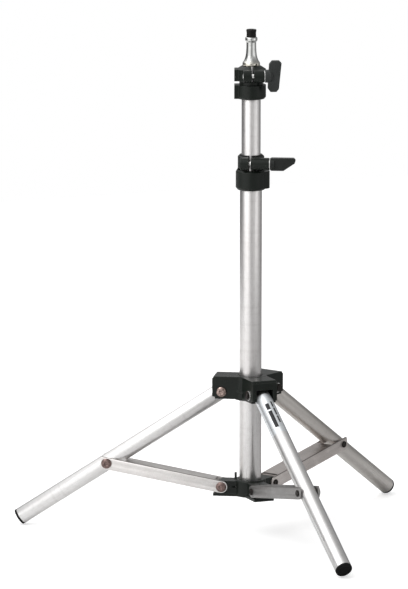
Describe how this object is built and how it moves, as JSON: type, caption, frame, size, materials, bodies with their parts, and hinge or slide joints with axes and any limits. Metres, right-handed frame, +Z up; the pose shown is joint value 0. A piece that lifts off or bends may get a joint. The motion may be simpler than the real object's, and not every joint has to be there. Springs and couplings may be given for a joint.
{
  "type": "lighting stand",
  "caption": "Compact folding lighting stand: tube legs on a sliding spider, channel braces, telescopic column with clamp collars and a 16 mm spigot.",
  "frame": {"origin": "on the floor, on the column axis, with the legs spread", "axes": "+Z up along the column; legs point to -90, 30 and 150 degrees in plan, so -Y is the front leg"},
  "size_m": [0.552, 0.481, 0.6693],
  "materials": {
    "satin_aluminium": "satin anodised",
    "brace_aluminium": "matt, faintly brushed",
    "black_casting": "satin black powder coat",
    "black_plastic": "moulded, slightly textured",
    "grey_plastic": "moulded dark grey",
    "bright_steel": "bright plated",
    "rivet_steel": "dull nickel, slightly warm",
    "zinc_steel": "zinc plated"
  },
  "bodies": {
    "base": {"base_tube": "satin_aluminium", "base_plug": "black_plastic", "lower_spider": "black_casting", "spider_roll_pin": "zinc_steel", "brace_pivot_rivets": "rivet_steel", "base_collar": "black_casting", "base_liner": "black_plastic", "base_clamp_nut": "zinc_steel"},
    "base_knob": {"base_lever_knob": "black_plastic", "base_knob_stud": "zinc_steel", "base_knob_washer": "zinc_steel"},
    "mid_riser": {"mid_tube": "satin_aluminium", "mid_guide_bush": "black_plastic", "top_collar": "black_casting", "top_liner": "black_plastic", "top_clamp_nut": "zinc_steel"},
    "top_knob": {"top_wing_knob": "grey_plastic", "top_knob_stud": "zinc_steel", "top_knob_washer": "zinc_steel"},
    "top_riser": {"top_tube": "satin_aluminium", "top_guide_bush": "black_plastic", "spigot": "bright_steel", "spigot_pin": "zinc_steel"},
    "cap": {"spigot_cap": "black_plastic"},
    "spider": {"leg_spider": "black_casting", "spider_bush": "black_plastic", "leg_pivot_bolts": "rivet_steel", "leg_pivot_nuts": "zinc_steel"},
    "leg_front": {"leg_front_tube": "satin_aluminium", "leg_front_insert": "black_plastic", "leg_front_foot": "black_plastic"},
    "brace_front": {"brace_front": "brace_aluminium", "brace_front_rivets": "rivet_steel"},
    "leg_right": {"leg_right_tube": "satin_aluminium", "leg_right_insert": "black_plastic", "leg_right_foot": "black_plastic"},
    "brace_right": {"brace_right": "brace_aluminium", "brace_right_rivets": "rivet_steel"},
    "leg_left": {"leg_left_tube": "satin_aluminium", "leg_left_insert": "black_plastic", "leg_left_foot": "black_plastic"},
    "brace_left": {"brace_left": "brace_aluminium", "brace_left_rivets": "rivet_steel"}
  },
  "joints": [
    {"name": "spider_slide", "type": "slide", "parent": "base", "child": "spider", "axis": [0, 0, 1], "range_m": [0, 0.20932]},
    {"name": "leg_front_hinge", "type": "hinge", "parent": "spider", "child": "leg_front", "pos_m": [0, -0.0363, 0.18924], "axis": [1, 0, 0], "range_deg": [0, 50.66]},
    {"name": "brace_front_hinge", "type": "hinge", "parent": "base", "child": "brace_front", "pos_m": [0, -0.037, 0.0605], "axis": [-1, 0, 0], "range_deg": [0, 73.02]},
    {"name": "leg_right_hinge", "type": "hinge", "parent": "spider", "child": "leg_right", "pos_m": [0.03144, 0.01815, 0.18924], "axis": [-0.5, 0.866, 0], "range_deg": [0, 50.66]},
    {"name": "brace_right_hinge", "type": "hinge", "parent": "base", "child": "brace_right", "pos_m": [0.03204, 0.0185, 0.0605], "axis": [0.5, -0.866, 0], "range_deg": [0, 73.02]},
    {"name": "leg_left_hinge", "type": "hinge", "parent": "spider", "child": "leg_left", "pos_m": [-0.03144, 0.01815, 0.18924], "axis": [-0.5, -0.866, 0], "range_deg": [0, 50.66]},
    {"name": "brace_left_hinge", "type": "hinge", "parent": "base", "child": "brace_left", "pos_m": [-0.03204, 0.0185, 0.0605], "axis": [0.5, 0.866, 0], "range_deg": [0, 73.02]},
    {"name": "base_knob_turn", "type": "hinge", "parent": "base", "child": "base_knob", "pos_m": [-0.00931, -0.01827, 0.4945], "axis": [0.891, -0.454, 0], "range_deg": [0, 360]},
    {"name": "mid_riser_slide", "type": "slide", "parent": "base", "child": "mid_riser", "axis": [0, 0, 1], "range_m": [-0.062, 0.24]},
    {"name": "top_knob_turn", "type": "hinge", "parent": "mid_riser", "child": "top_knob", "pos_m": [-0.00633, -0.0195, 0.61], "axis": [0.9511, -0.309, 0], "range_deg": [0, 360]},
    {"name": "top_riser_slide", "type": "slide", "parent": "mid_riser", "child": "top_riser", "axis": [0, 0, 1], "range_m": [0, 0.33]},
    {"name": "cap_lift", "type": "slide", "parent": "top_riser", "child": "cap", "axis": [0, 0, 1], "range_m": [0, 0.025]}
  ],
  "couplings": [
    {"joint": "leg_front_hinge", "follows": "spider_slide", "rad_per_m": 4.2241},
    {"joint": "brace_front_hinge", "follows": "spider_slide", "rad_per_m": 6.0889},
    {"joint": "leg_right_hinge", "follows": "spider_slide", "rad_per_m": 4.2241},
    {"joint": "brace_right_hinge", "follows": "spider_slide", "rad_per_m": 6.0889},
    {"joint": "leg_left_hinge", "follows": "spider_slide", "rad_per_m": 4.2241},
    {"joint": "brace_left_hinge", "follows": "spider_slide", "rad_per_m": 6.0889}
  ]
}
